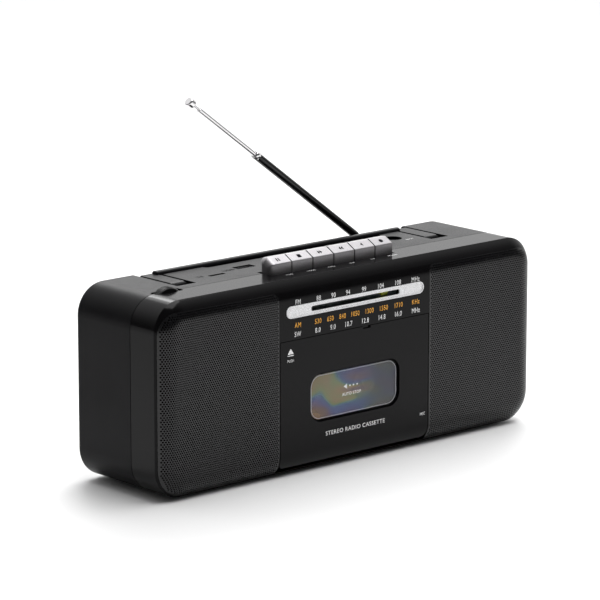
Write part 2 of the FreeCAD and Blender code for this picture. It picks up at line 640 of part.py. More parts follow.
def main_board():
    board = box((-92.0, 92.0), (-6.2, -4.6), (3.5, 34.0))
    parts = []
    for index in range(6):
        x = -66.0 + 26.0 * index
        parts.append(rod("y", (x, 20.0), 3.0, (-4.7, 3.0)))
        parts.append(box((x + 5, x + 13), (-4.7, -3.2), (12.0, 26.0)))
    return join([board] + parts)


def ferrite_rod():
    return rod("x", (16.0, 92.0), 5.0, (-30.0, 60.0))


def ferrite_coil():
    return ring("x", (16.0, 92.0), 6.5, 5.0, (20.0, 40.0))


def speaker_profile():
    """Half section of the steel basket: (radius, y) from the flange back to the magnet plate."""
    flange_y = RIM_Y + WALL
    return [(SPEAKER_R, flange_y), (SPEAKER_R, flange_y + 1.0), (34.0, flange_y + 1.0),
            (18.0, flange_y + 16.0), (0.1, flange_y + 16.0), (0.1, flange_y + 15.0),
            (17.4, flange_y + 15.0), (33.0, flange_y)]


def speaker_basket(x):
    return spin(speaker_profile(), (x, SPEAKER_Z))


def speaker_magnet(x):
    return rod("y", (x, SPEAKER_Z), 22.0, (RIM_Y + WALL + 16.0, RIM_Y + WALL + 26.0))


def speaker_cone(x):
    """Paper cone with its dome, set inside the basket."""
    y = RIM_Y + WALL
    profile = [(32.4, y + 0.2), (31.6, y + 0.2), (10.0, y + 9.0), (4.0, y + 7.2), (0.1, y + 6.8),
               (0.1, y + 7.4), (4.0, y + 7.9), (8.5, y + 10.0), (8.5, y + 13.0), (9.3, y + 13.0),
               (9.3, y + 10.0)]
    return spin(profile, (x, SPEAKER_Z))


# ---- power --------------------------------------------------------------------------------------
def battery_box():
    """Open-backed tray for two rows of round cells."""
    outer = box((-BATTERY_X - 1.6, BATTERY_X + 1.6), (BATTERY_Y - 1.6, BACK_Y - WALL),
                (BATTERY_Z[0] - 1.6, BATTERY_Z[1] + 1.6))
    inner = box((-BATTERY_X, BATTERY_X), (BATTERY_Y, BACK_Y), BATTERY_Z)
    return outer.cut(inner)


def battery_contacts():
    plates = []
    for x in (-BATTERY_X, BATTERY_X - 0.8):
        for z in (16.0, 42.0):
            plates.append(box((x, x + 0.8), (BATTERY_Y + 8, BATTERY_Y + 20), (z, z + 12)))
    return plates


def battery_cover():
    """Lid that swings down about its lower outside edge, with a finger latch at the top."""
    gap = JOINT_GAP
    lid = box((-BATTERY_X + gap, BATTERY_X - gap), (BACK_Y - 2.0, BACK_Y),
              (BATTERY_Z[0] + gap, BATTERY_Z[1] - gap))
    grip = soft_block((-9.0, 9.0), (BACK_Y - 1.0, BACK_Y + 1), (BATTERY_Z[1] - 8, BATTERY_Z[1] - 4), 1.5,
                      V(0, 1, 0))
    ribs = [box((-60.0, 60.0), (BACK_Y - 3.2, BACK_Y - 1.9), (z, z + 1.2)) for z in (20.0, 35.0, 50.0)]
    return join([lid] + ribs).cut(grip)


def transformer():
    core = box((-138.0, -102.0), (9.0, 32.0), (4.0, 36.0))
    winding = box((-132.0, -108.0), (5.0, 36.0), (11.0, 29.0))
    return join([core, winding])


def mains_inlet():
    """Two-pin socket block behind the opening in the back."""
    outer = soft_block((INLET_X[0] - 2, INLET_X[1] + 2), (BACK_Y - 16.0, BACK_Y - WALL),
                       (INLET_Z[0] - 2, INLET_Z[1] + 2), 3.0, V(0, 1, 0))
    well = soft_block(INLET_X, (BACK_Y - 14.0, BACK_Y), INLET_Z, 4.0, V(0, 1, 0))
    middle = (INLET_X[0] + INLET_X[1]) / 2
    pins = [rod("y", (middle + dx, (INLET_Z[0] + INLET_Z[1]) / 2), 1.2, (BACK_Y - 15.0, BACK_Y - 5.0))
            for dx in (-4.3, 4.3)]
    return join([outer.cut(well)] + pins)


def headphone_jack():
    body = box((JACK_AT[0] - 5, JACK_AT[0] + 5), (BACK_Y - 16.0, BACK_Y - WALL),
               (JACK_AT[1] - 5, JACK_AT[1] + 5))
    barrel = rod("y", JACK_AT, 4.0, (BACK_Y - WALL - 0.1, BACK_Y - 0.3))
    return join([body, barrel]).cut(rod("y", JACK_AT, 1.8, (BACK_Y - 14.0, BACK_Y)))


def feet():
    return [rod("z", place, 4.0, (-FOOT_H, 0.8)) for place in FOOT_PLACES]


def case_screws():
    screws = []
    for x in (-142.0, 142.0):
        for z in (22.0, CASE_H - 24.0):
            shank = rod("y", (x, z), 1.25, (SPLIT_Y - 8, BACK_Y - 1.8))
            cap = rod("y", (x, z), 2.6, (BACK_Y - 1.8, BACK_Y - 0.4))
            screws.append(join([shank, cap]))
    return screws


# ---- handle -------------------------------------------------------------------------------------
def handle():
    """U-shaped: a grip across the back and an arm at each end."""
    grip = soft_block((-ARM_X[0] - 1, ARM_X[0] + 1), GRIP_Y, GRIP_Z, 2.0, V(1, 0, 0))
    low = ARM_PIVOT[1] - ARM_HALF
    high = ARM_PIVOT[1] + ARM_HALF
    arm = join([box(ARM_X, (ARM_PIVOT[0], GRIP_Y[1]), (low, high)), rod("x", ARM_PIVOT, ARM_HALF, ARM_X)])
    whole = join([grip] + both_sides(arm))
    return whole.cut(rod("x", ARM_PIVOT, 2.0 + RUNNING_FIT, (-ARM_X[1] - 1, ARM_X[1] + 1)))


def handle_pins():
    return both_sides(rod("x", ARM_PIVOT, 2.0, (ARM_X[0] - 4.5, ARM_X[1] + 4.5)))


# ---- aerial -------------------------------------------------------------------------------------
def along_aerial(shape):
    """Place a shape, built along +X from the origin, on the aerial's line."""
    shape = shape.copy()
    shape.rotate(V(0, 0, 0), V(0, 1, 0), -(180 - AERIAL_ANGLE))
    shape.translate(V(*AERIAL_AT))
    return shape


def aerial_swivel():
    """Turntable in the case with two cheeks that hold the tilt pin."""
    x, y, z = AERIAL_AT
    stud = rod("z", (x, y), 2.0, (STEP_Z - 3.6, 108.2))
    disc = rod("z", (x, y), 2.7, (108.1, 109.8))
    cheek = join([box((x - 2.2, x + 2.2), (y - 2.7, y + 2.7), (109.8, z)), rod("y", (x, z), 2.2, (y - 2.7, y + 2.7))])
    cheek = cheek.cut(box((x - 3, x + 3), (y - 1.3, y + 1.3), (109.8, z + 3)))
    return join([stud, disc, cheek]).cut(rod("y", (x, z), 0.8, (y - 3, y + 3)))


def aerial_pin():
    x, y, z = AERIAL_AT
    return rod("y", (x, z), 0.8, (y - 2.7, y + 2.7))


def aerial_base():
    """Knuckle and the outer tube, which the thinner sections slide out of."""
    start, end = AERIAL_TUBE
    knuckle = join([rod("y", (0, 0), 2.1, (-1.2, 1.2)), box((0, start + 0.5), (-1.2, 1.2), (-1.8, 1.8))])
    tube = rod("x", (0, 0), AERIAL_TUBE_R, (start, end))
    collar = ring("x", (0, 0), AERIAL_TUBE_R, AERIAL_MID_R + SLIDE_FIT, (end - 4.5, end))
    bore = rod("x", (0, 0), AERIAL_MID_R + SLIDE_FIT, (start + 3.0, end + 1))
    whole = join([knuckle, tube, collar]).cut(bore)
    return along_aerial(whole.cut(rod("y", (0, 0), 0.8 + RUNNING_FIT, (-2, 2))))


def aerial_middle():
    start = AERIAL_MID_END - AERIAL_MID_L
    bore = rod("x", (0, 0), AERIAL_ROD_R + SLIDE_FIT, (start + 1.0, AERIAL_MID_END + 1))
    return along_aerial(rod("x", (0, 0), AERIAL_MID_R, (start, AERIAL_MID_END)).cut(bore))


def aerial_tip():
    wire = rod("x", (0, 0), AERIAL_ROD_R, (AERIAL_ROD_END - AERIAL_ROD_L, AERIAL_ROD_END + 1))
    knob = rod("x", (0, 0), AERIAL_KNOB_R, (AERIAL_ROD_END, AERIAL_ROD_END + AERIAL_KNOB_L))
    knob = knob.makeFillet(0.9, [e for e in knob.Edges if e.BoundBox.XLength < 1e-6])
    return along_aerial(join([wire, knob]))


# ---- export -------------------------------------------------------------------------------------
def save(name, shape):
    """Write one node, lifted by the feet; a list of solids is written as one group."""
    solids = shape if isinstance(shape, list) else [shape]
    lifted = []
    for solid in solids:
        for piece in solid.Solids:
            piece = piece.copy()
            piece.translate(V(0, 0, FOOT_H))
            lifted.append(piece)
    result = lifted[0] if len(lifted) == 1 else Part.makeCompound(lifted)
    result.exportStep("parts/" + name + ".step")


def all_nodes():
    nodes = {
        "front_cabinet": front_cabinet(),
        "rear_cabinet": rear_cabinet(),
        "left_grille": grille(-1),
        "right_grille": grille(1),
        "dial_bezel": dial_bezel(),
        "dial_lens": dial_lens(),
        "dial_pointer": dial_pointer(),
        "pointer_rail": pointer_rail(),
        "cassette_door": cassette_door(),
        "door_window": door_window(),
        "door_pins": door_pins(),
        "cassette_holder": cassette_holder(),
        "key_shaft": key_shaft(),
        "key_springs": key_springs(),
        "key_bracket": key_bracket(),
        "deck_chassis": deck_chassis(),
        "supply_spindle": spindle(-SPINDLE_X),
        "takeup_spindle": spindle(SPINDLE_X),
        "capstan_flywheel": capstan_flywheel(),
        "flywheel_bracket": flywheel_bracket(),
        "motor": motor(),
        "motor_pulley": motor_pulley(),
        "drive_belt": drive_belt(),
        "pinch_roller": pinch_roller(),
        "tape_heads": [head(0.0, 14.0), head(-17.0, 8.0)],
        "volume_wheel": volume_wheel(),
        "volume_control": [volume_control(), control_board()],
        "tuning_wheel": tuning_wheel(),
        "tuning_capacitor": tuning_capacitor(),
        "band_switch_knob": band_switch_knob(),
        "band_switch": [band_switch(), band_board()],
        "speaker_baskets": [speaker_basket(side * SPEAKER_X) for side in (-1, 1)],
        "speaker_cones": [speaker_cone(side * SPEAKER_X) for side in (-1, 1)],
        "speaker_magnets": [speaker_magnet(side * SPEAKER_X) for side in (-1, 1)],
        "usb_port": usb_port(),
        "card_slot": card_slot(),
        "media_board": media_board(),
        "main_board": main_board(),
        "ferrite_aerial": [ferrite_rod(), ferrite_coil()],
        "battery_box": battery_box(),
        "battery_contacts": battery_contacts(),
        "battery_cover": battery_cover(),
        "transformer": transformer(),
        "mains_inlet": mains_inlet(),
        "headphone_jack": headphone_jack(),
        "feet": feet(),
        "case_screws": case_screws(),
        "handle": handle(),
        "handle_pins": handle_pins(),
        "aerial_swivel": aerial_swivel(),
        "aerial_pin": aerial_pin(),
        "aerial_base": aerial_base(),
        "aerial_middle": aerial_middle(),
        "aerial_tip": aerial_tip(),
    }
    for index, name in enumerate(("pause", "stop", "forward", "rewind", "play", "record")):
        nodes["key_" + name] = key(index)
    return nodes


def main():
    os.makedirs("parts", exist_ok=True)
    for name, shape in all_nodes().items():
        save(name, shape)


main()
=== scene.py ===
import json
import math
import bpy
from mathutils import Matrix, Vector


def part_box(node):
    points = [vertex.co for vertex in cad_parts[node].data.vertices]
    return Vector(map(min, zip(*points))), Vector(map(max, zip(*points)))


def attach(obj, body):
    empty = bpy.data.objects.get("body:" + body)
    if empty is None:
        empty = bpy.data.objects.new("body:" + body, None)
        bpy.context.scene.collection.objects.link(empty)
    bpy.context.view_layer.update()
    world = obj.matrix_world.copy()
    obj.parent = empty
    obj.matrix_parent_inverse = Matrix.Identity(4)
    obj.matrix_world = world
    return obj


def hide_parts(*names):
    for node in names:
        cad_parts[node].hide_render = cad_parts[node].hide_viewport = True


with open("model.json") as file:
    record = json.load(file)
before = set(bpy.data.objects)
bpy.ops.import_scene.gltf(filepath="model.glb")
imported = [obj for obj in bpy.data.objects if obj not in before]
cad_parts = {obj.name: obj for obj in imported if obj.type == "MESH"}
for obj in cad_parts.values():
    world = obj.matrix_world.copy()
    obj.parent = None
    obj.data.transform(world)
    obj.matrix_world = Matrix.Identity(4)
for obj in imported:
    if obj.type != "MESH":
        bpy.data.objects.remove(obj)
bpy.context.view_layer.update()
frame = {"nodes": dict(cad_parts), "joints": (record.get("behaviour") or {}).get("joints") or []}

NODES = frame["nodes"]
MM = 0.001

# ---- sizes read from the frame, in millimetres ----------------------------------------------------
CASE_LOW, CASE_HIGH = [[c / MM for c in corner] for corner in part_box("front_cabinet")]
HALF_W = CASE_HIGH[0]
BASE_Z = CASE_LOW[2]
TOP_Z = CASE_HIGH[2]
FRONT_Y = CASE_LOW[1]
RIM_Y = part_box("left_grille")[1][1] / MM
CASE_H = TOP_Z - BASE_Z
CORNER_R = 18.5
BULGE_D = 12.5            # how far in from the outline the front starts to curve back
PRINT_T = 0.04            # thickness of printed marks
PANE_STEP = 0.5           # how far the middle of the window stands proud of its seat
PANE_HIDDEN = 1.5         # border of the pane behind the door
PANE_SHADE_RING = 1.2         # width of the near-black ring inside the opening: painted shade of the recess wall round the pane
RIB_H = 0.22              # height of the ribs on the thumbwheels
COLLAR_R = 2.62           # plated ring on the aerial
CORNERS_OF_GRILLE = (17.35, 12.85, 3.85)      # outer foot, outer top, inner top

# Grille pattern
HOLE_PITCH = 1.52
HOLE_R = 0.56
HOLE_DEPTH = 0.55
BARE_BORDER = 1.0         # edge of the sheet without holes
SHADE_SHEET_BEHIND = 0.8        # gap between the perforated sheet and the painted shade sheet behind it


# ---- materials --------------------------------------------------------------------------------------
def new_material(name):
    mat = bpy.data.materials.new(name)
    mat.use_nodes = True
    tree = mat.node_tree
    return mat, tree, tree.nodes["Principled BSDF"]


def noise(tree, scale, detail=4.0, rough=0.5, stretch=(1, 1, 1)):
    """Noise in object space, in turns per metre."""
    place = tree.nodes.new("ShaderNodeTexCoord")
    size = tree.nodes.new("ShaderNodeMapping")
    size.inputs["Scale"].default_value = stretch
    tex = tree.nodes.new("ShaderNodeTexNoise")
    tex.inputs["Scale"].default_value = scale
    tex.inputs["Detail"].default_value = detail
    tex.inputs["Roughness"].default_value = rough
    tree.links.new(place.outputs["Object"], size.inputs["Vector"])
    tree.links.new(size.outputs["Vector"], tex.inputs["Vector"])
    return tex


def spread(tree, source, low, high):
    """A noise value mapped to the range low..high."""
    node = tree.nodes.new("ShaderNodeMapRange")
    node.inputs["From Min"].default_value = 0.3
    node.inputs["From Max"].default_value = 0.7
    node.inputs["To Min"].default_value = low
    node.inputs["To Max"].default_value = high
    tree.links.new(source, node.inputs["Value"])
    return node.outputs["Result"]


def tint(tree, source, stops):
    ramp = tree.nodes.new("ShaderNodeValToRGB")
    while len(ramp.color_ramp.elements) < len(stops):
        ramp.color_ramp.elements.new(0.5)
    for element, (place, colour) in zip(ramp.color_ramp.elements, stops):
        element.position = place
        element.color = (*colour, 1)
    tree.links.new(source, ramp.inputs["Fac"])
    return ramp.outputs["Color"]


def bump(tree, shader, source, strength, distance):
    node = tree.nodes.new("ShaderNodeBump")
    node.inputs["Strength"].default_value = strength
    node.inputs["Distance"].default_value = distance
    tree.links.new(source, node.inputs["Height"])
    tree.links.new(node.outputs["Normal"], shader.inputs["Normal"])


def plastic(name, colour, rough, grain=0.0, grain_scale=2500, wear=0.25, shine=0.5):
    """Moulded plastic: colour mottled a little, roughness uneven, with an optional spark-eroded grain."""
    mat, tree, shader = new_material(name)
    shader.inputs["Specular IOR Level"].default_value = shine
    cloud = noise(tree, 60, 3)
    low = tuple(c * (1 - wear) for c in colour)
    high = tuple(c * (1 + wear) for c in colour)
    tree.links.new(tint(tree, cloud.outputs["Fac"], [(0.3, low), (0.7, high)]), shader.inputs["Base Color"])
    smear = noise(tree, 25, 5, 0.6, (1, 1, 2))
    tree.links.new(spread(tree, smear.outputs["Fac"], rough * 0.85, rough * 1.2), shader.inputs["Roughness"])
    if grain:
        fine = noise(tree, grain_scale, 2)
        bump(tree, shader, fine.outputs["Fac"], grain, 0.0002)
    return mat


def metal(name, colour, rough, stretch=(1, 1, 1), streak=0.15):
    mat, tree, shader = new_material(name)
    shader.inputs["Metallic"].default_value = 1.0
    brush = noise(tree, 400, 3, 0.5, stretch)
    low = tuple(c * (1 - streak) for c in colour)
    shade = tint(tree, brush.outputs["Fac"], [(0.35, low), (0.65, colour)])
    tree.links.new(shade, shader.inputs["Base Color"])
    tree.links.new(spread(tree, brush.outputs["Fac"], rough * 0.8, rough * 1.25), shader.inputs["Roughness"])
    return mat


def silver_paint(name, colour, rough=0.34):
    """Silver lacquer on plastic: metal flakes in a clear coat."""
    mat, tree, shader = new_material(name)
    shader.inputs["Metallic"].default_value = 0.75
    shader.inputs["Coat Weight"].default_value = 0.35
    shader.inputs["Coat Roughness"].default_value = 0.18
    flakes = noise(tree, 5200, 2)
    low = tuple(c * 0.8 for c in colour)
    high = tuple(min(c * 1.2, 1) for c in colour)
    shade = tint(tree, flakes.outputs["Fac"], [(0.35, low), (0.65, high)])
    tree.links.new(shade, shader.inputs["Base Color"])
    tree.links.new(spread(tree, flakes.outputs["Fac"], rough * 0.85, rough * 1.15), shader.inputs["Roughness"])
    bump(tree, shader, flakes.outputs["Fac"], 0.06, 0.0001)
    return mat


def ink(name, colour):
    mat, tree, shader = new_material(name)
    wear = noise(tree, 900, 3)
    low = tuple(c * 0.88 for c in colour)
    tree.links.new(tint(tree, wear.outputs["Fac"], [(0.3, low), (0.6, colour)]), shader.inputs["Base Color"])
    shader.inputs["Roughness"].default_value = 0.45
    return mat


def clear_with_painted_reflection(name):
    """Clear styrene with soft bands of colour: a painted reflection, strongest on the left and fading to a
    dark grey towards the right.
    """
    mat, tree, shader = new_material(name)
    swirl = noise(tree, 27, 1.0, 0.4, (0.75, 1, 1.3))
    swirl.inputs["Distortion"].default_value = 1.6
    stops = [(0.26, (0.34, 0.22, 0.12)), (0.36, (0.22, 0.13, 0.10)), (0.42, (0.15, 0.12, 0.24)),
             (0.48, (0.08, 0.13, 0.34)), (0.53, (0.12, 0.24, 0.28)), (0.58, (0.26, 0.30, 0.14)),
             (0.64, (0.36, 0.26, 0.14)), (0.72, (0.20, 0.13, 0.18)), (0.80, (0.11, 0.14, 0.26))]
    bands = tint(tree, swirl.outputs["Fac"], stops)
    place = tree.nodes.new("ShaderNodeTexCoord")
    axes = tree.nodes.new("ShaderNodeSeparateXYZ")
    tree.links.new(place.outputs["Object"], axes.inputs["Vector"])
    # Painted reflection: coloured bands on the left, fading along X to a flat dark grey on the right.
    fade = tree.nodes.new("ShaderNodeMapRange")
    fade.interpolation_type = "SMOOTHSTEP"
    fade.inputs["From Min"].default_value = -0.004
    fade.inputs["From Max"].default_value = 0.024
    fade.inputs["To Min"].default_value = 0.12
    fade.inputs["To Max"].default_value = 0.86
    tree.links.new(axes.outputs["X"], fade.inputs["Value"])
    mix = tree.nodes.new("ShaderNodeMix")
    mix.data_type = "RGBA"
    mix.inputs["B"].default_value = (0.065, 0.065, 0.08, 1)
    tree.links.new(fade.outputs["Result"], mix.inputs["Factor"])
    tree.links.new(bands, mix.inputs["A"])
    tree.links.new(mix.outputs["Result"], shader.inputs["Base Color"])
    shader.inputs["Roughness"].default_value = 0.12
    shader.inputs["Alpha"].default_value = 0.66
    return mat


def clear(name, colour, alpha):
    mat, tree, shader = new_material(name)
    dust = noise(tree, 300, 4)
    tree.links.new(spread(tree, dust.outputs["Fac"], 0.04, 0.12), shader.inputs["Roughness"])
    shader.inputs["Base Color"].default_value = (*colour, 1)
    shader.inputs["Alpha"].default_value = alpha
    return mat


def make_materials():
    return {
        "gloss": plastic("gloss_black", (0.0028, 0.0026, 0.003), 0.14, wear=0.1, shine=0.13),
        "matt": plastic("matt_black", (0.0032, 0.0030, 0.0038), 0.34, 0.3, 2600, shine=0.09),
        "grille": plastic("grille_black", (0.004, 0.0039, 0.0046), 0.22, shine=0.50),
        # near-black and shine-free: painted shade behind the grille holes and on the grille's edge wall
        "hole_shade": plastic("grille_hole_shade", (0.0012, 0.0012, 0.0012), 0.9, shine=0.0),
        "silver": silver_paint("silver_paint", (0.27, 0.26, 0.27)),
        "bezel": silver_paint("bezel_silver", (0.66, 0.66, 0.67), 0.28),
        "pane": clear_with_painted_reflection("window_clear"),
        # light grey, part clear: painted highlight on the pane's bevel
        "rim": clear("window_bevel_painted_highlight", (0.75, 0.75, 0.80), 0.55),
        "clear": clear("lens_clear", (0.5, 0.55, 0.6), 0.04),
        "yellow": ink("pointer_yellow", (0.80, 0.86, 0.05)),
        "white": ink("white_ink", (0.98, 0.98, 0.98)),
        "orange": ink("orange_ink", (1.0, 0.46, 0.03)),
        "dark_ink": plastic("dark_ink", (0.012, 0.012, 0.014), 0.9, shine=0.0),
        "steel": metal("plated_steel", (0.55, 0.55, 0.56), 0.32, (1, 1, 12)),
        "chrome": metal("chrome_plate", (0.80, 0.79, 0.80), 0.12, streak=0.04),
        "brass": metal("brass", (0.70, 0.50, 0.24), 0.3),
        "lacquer": plastic("black_lacquer", (0.004, 0.004, 0.0045), 0.14, wear=0.1, shine=0.4),
        "dark": plastic("dark_acetal", (0.006, 0.006, 0.0065), 0.3, 0.2, 2000, shine=0.25),
        # near black and dull: painted shade for the ring round the window pane and the screw crosses; also on
        # the band-switch knob and handle pins
        "well": plastic("near_black_painted_shade", (0.002, 0.002, 0.002), 0.6, shine=0.1),
        "pale": plastic("pale_acetal", (0.80, 0.80, 0.78), 0.3),
        "rubber": plastic("rubber", (0.010, 0.010, 0.010), 0.75, 0.5, 1800, shine=0.3),
        "board": plastic("circuit_board", (0.16, 0.10, 0.035), 0.5),
        "ferrite": plastic("ferrite", (0.03, 0.03, 0.033), 0.55, 0.3, 1500),
        "paper": plastic("paper_cone", (0.016, 0.016, 0.016), 0.85, 0.8, 1400, shine=0.2),
    }


NODE_FINISH = {
    "gloss": ["front_cabinet", "cassette_door"],
    "matt": ["rear_cabinet", "battery_box", "battery_cover", "handle", "left_grille", "right_grille"],
    "silver": ["key_pause", "key_stop", "key_forward", "key_rewind", "key_play", "key_record"],
    "bezel": ["dial_bezel"],
    "clear": ["dial_lens", "tuning_capacitor"],
    "pane": ["door_window"],
    "yellow": ["dial_pointer"],
    "steel": ["pointer_rail", "door_pins", "cassette_holder", "key_shaft", "key_springs", "key_bracket",
              "deck_chassis", "capstan_flywheel", "flywheel_bracket", "motor", "tape_heads",
              "volume_control", "band_switch", "speaker_baskets", "usb_port", "card_slot",
              "battery_contacts", "transformer", "case_screws", "aerial_pin"],
    "pale": ["supply_spindle", "takeup_spindle"],
    "brass": ["motor_pulley"],
    "rubber": ["drive_belt", "pinch_roller", "feet"],
    "dark": ["volume_wheel", "tuning_wheel", "mains_inlet", "headphone_jack"],
    # The band-switch knob: its own black plus painted shade of the recess it sits in.
    "well": ["band_switch_knob", "handle_pins"],
    "ferrite": ["ferrite_aerial", "speaker_magnets"],
    "board": ["media_board", "main_board"],
    "paper": ["speaker_cones"],
    "chrome": ["aerial_swivel", "aerial_middle", "aerial_tip"],
    "lacquer": ["aerial_base"],
}


def dress_nodes(mats):
    for finish, names in NODE_FINISH.items():
        for name in names:
            data = NODES[name].data
            data.materials.clear()
            data.materials.append(mats[finish])


# ---- mesh helpers -----------------------------------------------------------------------------------
def piece(name, points, faces, material, body, smooth=False):
    """A mesh object from points in millimetres, riding on a CAD body."""
    mesh = bpy.data.meshes.new(name)
    mesh.from_pydata([(x * MM, y * MM, z * MM) for x, y, z in points], [], faces)
    mesh.materials.append(material)
    mesh.validate()
    if smooth:
        mesh.shade_smooth()
    obj = bpy.data.objects.new(name, mesh)
    bpy.context.scene.collection.objects.link(obj)
    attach(obj, body)
    return obj


def round_rect(x, z, r, steps=8):
    """Points round a rounded rectangle, anticlockwise seen from the front."""
    points = []
    corners = [(x[1] - r, z[0] + r, -90), (x[1] - r, z[1] - r, 0),
               (x[0] + r, z[1] - r, 90), (x[0] + r, z[0] + r, 180)]
    for cx, cz, start in corners:
        for i in range(steps + 1):
            turn = math.radians(start + 90 * i / steps)
            points.append((cx + r * math.cos(turn), cz + r * math.sin(turn)))
    return points


def stacked_rings(rings, close_first=True, close_last=True):
    """Faces that join equal rings of points, with flat ends."""
    points = [p for loop in rings for p in loop]
    n = len(rings[0])
    faces = []
    for k in range(len(rings) - 1):
        for i in range(n):
            j = (i + 1) % n
            faces.append((k * n + i, k * n + j, (k + 1) * n + j, (k + 1) * n + i))
    if close_first:
        faces.append(tuple(reversed(range(n))))
    if close_last:
        faces.append(tuple((len(rings) - 1) * n + i for i in range(n)))
    return points, faces


# ---- the bulging front --------------------------------------------------------------------------------
def inset_depth(x, z):
    """Distance in from the case outline, seen from the front."""
    qx = abs(x) - (HALF_W - CORNER_R)
    qz = abs(z - (BASE_Z + TOP_Z) / 2) - (CASE_H / 2 - CORNER_R)
    outside = math.hypot(max(qx, 0), max(qz, 0)) + min(max(qx, qz), 0)
    return CORNER_R - outside


def bulge_y(x, z):
    """Y of the case's curved front at a point."""
    drop = RIM_Y - FRONT_Y
    r = (BULGE_D ** 2 + drop ** 2) / (2 * drop)
    reach = min(max(BULGE_D - inset_depth(x, z), 0), BULGE_D)
    return FRONT_Y + r - math.sqrt(r * r - reach * reach)


def grille_outline(side, inset):
    """The grille's edge as corner arcs: (x, z) points, inner edge square at the foot."""
    low, high = [[c / MM for c in corner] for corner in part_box("right_grille")]
    x = (low[0] + inset, high[0] - inset)
    z = (low[2] + inset, high[2] - inset)
    foot_r, top_r, inner_r = [r - inset for r in CORNERS_OF_GRILLE]
    arcs = [(x[1], z[0], foot_r, -90), (x[1], z[1], top_r, 0), (x[0], z[1], max(inner_r, 0.8), 90)]
    points = [(x[0], z[0])]
    for ax, az, r, start in arcs:
        cx = ax - r if ax == x[1] else ax + r
        cz = az + r if az == z[0] else az - r
        for i in range(13):
            turn = math.radians(start + 90 * i / 12)
            points.append((cx + r * math.cos(turn), cz + r * math.sin(turn)))
    return [(side * px, pz) for px, pz in points]


def nearest_on(outline, px, pz):
    """(distance, x, z) of the closest point on a closed outline; the distance is negative outside."""
    best = None
    inside = False
    n = len(outline)
    for i in range(n):
        ax, az = outline[i]
        bx, bz = outline[(i + 1) % n]
        dx, dz = bx - ax, bz - az
        t = max(0, min(1, ((px - ax) * dx + (pz - az) * dz) / (dx * dx + dz * dz)))
        qx, qz = ax + t * dx, az + t * dz
        d = math.hypot(px - qx, pz - qz)
        if best is None or d < best[0]:
            best = (d, qx, qz)
        if (az > pz) != (bz > pz) and px < ax + (pz - az) * dx / dz:
            inside = not inside
    return (best[0] if inside else -best[0], best[1], best[2])


def grille(side, material, dark):
    """A perforated sheet that follows the bulge: brick-laid cells, each with a six-sided hole."""
    outline = grille_outline(side, 0.0)
    xs = [p[0] for p in outline]
    zs = [p[1] for p in outline]
    row_h = HOLE_PITCH * math.sqrt(3) / 2
    points, faces, known = [], [], {}

    def corner(x, z):
        key = (round(x * 200), round(z * 200))
        if key not in known:
            away, qx, qz = nearest_on(outline, x, z)
            if away < 0:
                x, z = qx, qz
            known[key] = len(points)
            points.append((x, bulge_y(x, z), z))
        return known[key]

    rows = int((max(zs) - min(zs)) / row_h) + 2
    columns = int((max(xs) - min(xs)) / HOLE_PITCH) + 3
    for row in range(rows):
        z = min(zs) - row_h / 2 + row * row_h + row_h / 2
        for column in range(columns):
            x = min(xs) - HOLE_PITCH / 2 + (column + 0.5 * (row % 2)) * HOLE_PITCH
            away = nearest_on(outline, x, z)[0]
            if away < -HOLE_PITCH:
                continue
            w, h = HOLE_PITCH / 2, row_h / 2
            rim = [corner(x + dx, z + dz) for dx, dz in ((-w, -h), (0, -h), (w, -h), (w, h), (0, h), (-w, h))]
            if away < BARE_BORDER:
                if len(set(rim)) > 2:
                    faces.append(rim)
                continue
            start = len(points)
            for depth in (0, HOLE_DEPTH):
                for k in range(6):
                    turn = math.radians(-150 + 60 * k)
                    hx, hz = x + HOLE_R * math.cos(turn), z + HOLE_R * math.sin(turn)
                    points.append((hx, bulge_y(hx, hz) + depth, hz))
            for k in range(6):
                j = (k + 1) % 6
                faces.append((rim[k], rim[j], start + j, start + k))
                faces.append((start + k, start + j, start + 6 + j, start + 6 + k))
    name = "left_grille_mesh" if side < 0 else "right_grille_mesh"
    sheet = piece(name, points, faces, material, "case")
    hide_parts("left_grille" if side < 0 else "right_grille")
    # The edge wall takes the near-black matt material: painted shade in the gap round the grille.
    edge_front = [(x, bulge_y(x, z), z) for x, z in outline]
    edge_back = [(x, RIM_Y, z) for x, z in outline]
    skirt_points, skirt_faces = stacked_rings([edge_front, edge_back], False, False)
    piece(name + "_edge", skirt_points, skirt_faces, dark, "case")


def grille_hole_shade(side, material):
    """A near-black matt sheet just behind the perforated sheet: painted shade of the dark inside seen through
    the holes.
    """
    rings = [[(x, bulge_y(x, z) + SHADE_SHEET_BEHIND, z) for x, z in grille_outline(side, inset)]
             for inset in (0.4, 1.5, 3.0, 5.0, 7.0, 9.0, 11.0, 12.6)]
    points, faces = stacked_rings(rings, close_first=False)
    piece("left_hole_shade" if side < 0 else "right_hole_shade", points, faces, material, "case")


# ---- printing -----------------------------------------------------------------------------------------
def letter_shapes(string):
    """Flat mesh of a string as (points, faces), with its capitals 1 high and centred on x = 0."""
    curve = bpy.data.curves.new("letters", "FONT")
    curve.body = string
    curve.resolution_u = 3
    curve.space_character = 1.08
    curve.offset = 0.004
    holder = bpy.data.objects.new("letters", curve)
    bpy.context.scene.collection.objects.link(holder)
    bpy.context.view_layer.update()
    mesh = bpy.data.meshes.new_from_object(holder)
    points = [tuple(v.co) for v in mesh.vertices]
    faces = [tuple(p.vertices) for p in mesh.polygons]
    bpy.data.objects.remove(holder)
    bpy.data.curves.remove(curve)
    bpy.data.meshes.remove(mesh)
    middle = (min(p[0] for p in points) + max(p[0] for p in points)) / 2
    return [(p[0] - middle, p[1]) for p in points], faces


CAPITAL = 0.729           # height of a capital in the built-in font at size 1


